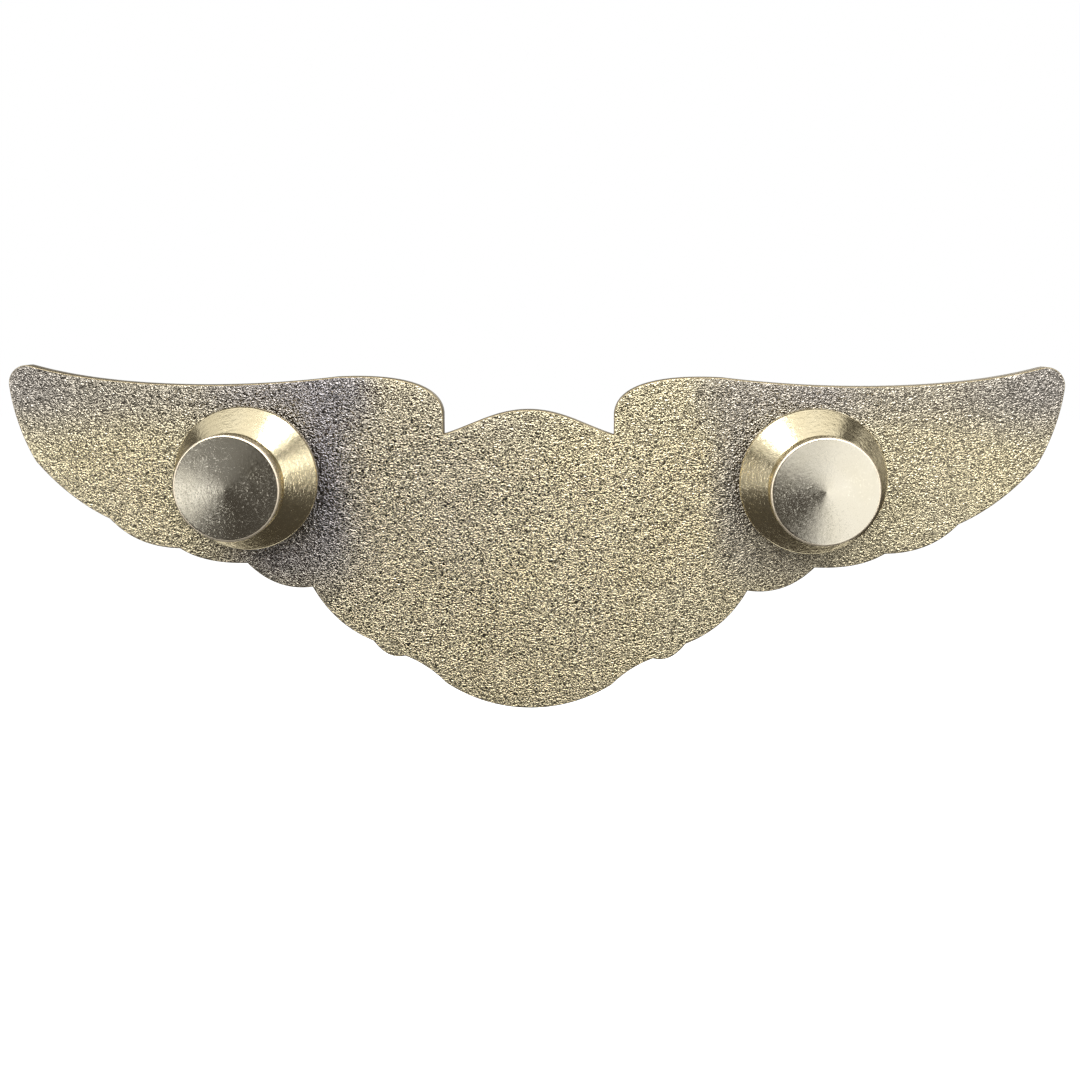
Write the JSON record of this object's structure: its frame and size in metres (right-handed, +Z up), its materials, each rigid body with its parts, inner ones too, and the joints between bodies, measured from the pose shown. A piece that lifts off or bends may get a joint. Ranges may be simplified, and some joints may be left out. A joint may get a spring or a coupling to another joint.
{
  "type": "pilot wings pin",
  "caption": "Metal pilot wings badge with feathered wings, a round centre boss and locking ball clutches that hold its posts through a garment.",
  "frame": {"origin": "on the back face of the wing plate, midway between the two posts", "axes": "+Y along the posts, away from the back of the plate towards the wearer; +X along the span, towards the right as the worn front is seen; +Z up as worn"},
  "size_m": [0.0762, 0.0095, 0.0256],
  "materials": {
    "plate_brass": "pale gold plating over die struck brass, pebbled back, polished raised front",
    "post_brass": "satin pale gold",
    "clutch_brass": "bright spun pale gold plating",
    "knob_brass": "bright pale gold with a turned face",
    "inner_brass": "plain machined",
    "race_steel": "ground bore",
    "ball_steel": "polished ball",
    "spring_steel": "drawn wire"
  },
  "bodies": {
    "plate": {"wing_plate": "plate_brass", "post_left": "post_brass", "post_right": "post_brass"},
    "clutch_left": {"base_shell_left": "clutch_brass", "base_plate_left": "inner_brass", "taper_race_left": "race_steel", "spring_left": "spring_steel"},
    "plunger_left": {"plunger_left": "inner_brass"},
    "knob_left": {"cap_shell_left": "knob_brass", "cap_plate_left": "inner_brass"},
    "ball_1_left": {"ball_1_left": "ball_steel"},
    "ball_2_left": {"ball_2_left": "ball_steel"},
    "ball_3_left": {"ball_3_left": "ball_steel"},
    "clutch_right": {"base_shell_right": "clutch_brass", "base_plate_right": "inner_brass", "taper_race_right": "race_steel", "spring_right": "spring_steel"},
    "plunger_right": {"plunger_right": "inner_brass"},
    "knob_right": {"cap_shell_right": "knob_brass", "cap_plate_right": "inner_brass"},
    "ball_1_right": {"ball_1_right": "ball_steel"},
    "ball_2_right": {"ball_2_right": "ball_steel"},
    "ball_3_right": {"ball_3_right": "ball_steel"}
  },
  "joints": [
    {"name": "clutch_left_slide", "type": "slide", "parent": "plate", "child": "clutch_left", "axis": [0, 1, 0], "range_m": [0, 0.02]},
    {"name": "knob_left_pull", "type": "slide", "parent": "clutch_left", "child": "plunger_left", "axis": [0, 1, 0], "range_m": [0, 0.0008], "stiffness_N_per_m": 400, "springref_m": -0.001, "deforming": ["spring_left"]},
    {"name": "knob_left_spin", "type": "hinge", "parent": "plunger_left", "child": "knob_left", "pos_m": [-0.0203, 0.0066, 0], "axis": [0, 1, 0], "continuous": true},
    {"name": "ball_1_left_slide", "type": "slide", "parent": "plunger_left", "child": "ball_1_left", "axis": [0, 0, 1], "range_m": [0, 0.00022]},
    {"name": "ball_2_left_slide", "type": "slide", "parent": "plunger_left", "child": "ball_2_left", "axis": [0.866, 0, -0.5], "range_m": [0, 0.00022]},
    {"name": "ball_3_left_slide", "type": "slide", "parent": "plunger_left", "child": "ball_3_left", "axis": [-0.866, 0, -0.5], "range_m": [0, 0.00022]},
    {"name": "clutch_right_slide", "type": "slide", "parent": "plate", "child": "clutch_right", "axis": [0, 1, 0], "range_m": [0, 0.02]},
    {"name": "knob_right_pull", "type": "slide", "parent": "clutch_right", "child": "plunger_right", "axis": [0, 1, 0], "range_m": [0, 0.0008], "stiffness_N_per_m": 400, "springref_m": -0.001, "deforming": ["spring_right"]},
    {"name": "knob_right_spin", "type": "hinge", "parent": "plunger_right", "child": "knob_right", "pos_m": [0.0203, 0.0066, 0], "axis": [0, 1, 0], "continuous": true},
    {"name": "ball_1_right_slide", "type": "slide", "parent": "plunger_right", "child": "ball_1_right", "axis": [0, 0, 1], "range_m": [0, 0.00022]},
    {"name": "ball_2_right_slide", "type": "slide", "parent": "plunger_right", "child": "ball_2_right", "axis": [0.866, 0, -0.5], "range_m": [0, 0.00022]},
    {"name": "ball_3_right_slide", "type": "slide", "parent": "plunger_right", "child": "ball_3_right", "axis": [-0.866, 0, -0.5], "range_m": [0, 0.00022]}
  ],
  "couplings": [
    {"joint": "ball_1_left_slide", "follows": "knob_left_pull", "ratio": 0.2679},
    {"joint": "ball_2_left_slide", "follows": "knob_left_pull", "ratio": 0.2679},
    {"joint": "ball_3_left_slide", "follows": "knob_left_pull", "ratio": 0.2679},
    {"joint": "ball_1_right_slide", "follows": "knob_right_pull", "ratio": 0.2679},
    {"joint": "ball_2_right_slide", "follows": "knob_right_pull", "ratio": 0.2679},
    {"joint": "ball_3_right_slide", "follows": "knob_right_pull", "ratio": 0.2679}
  ]
}
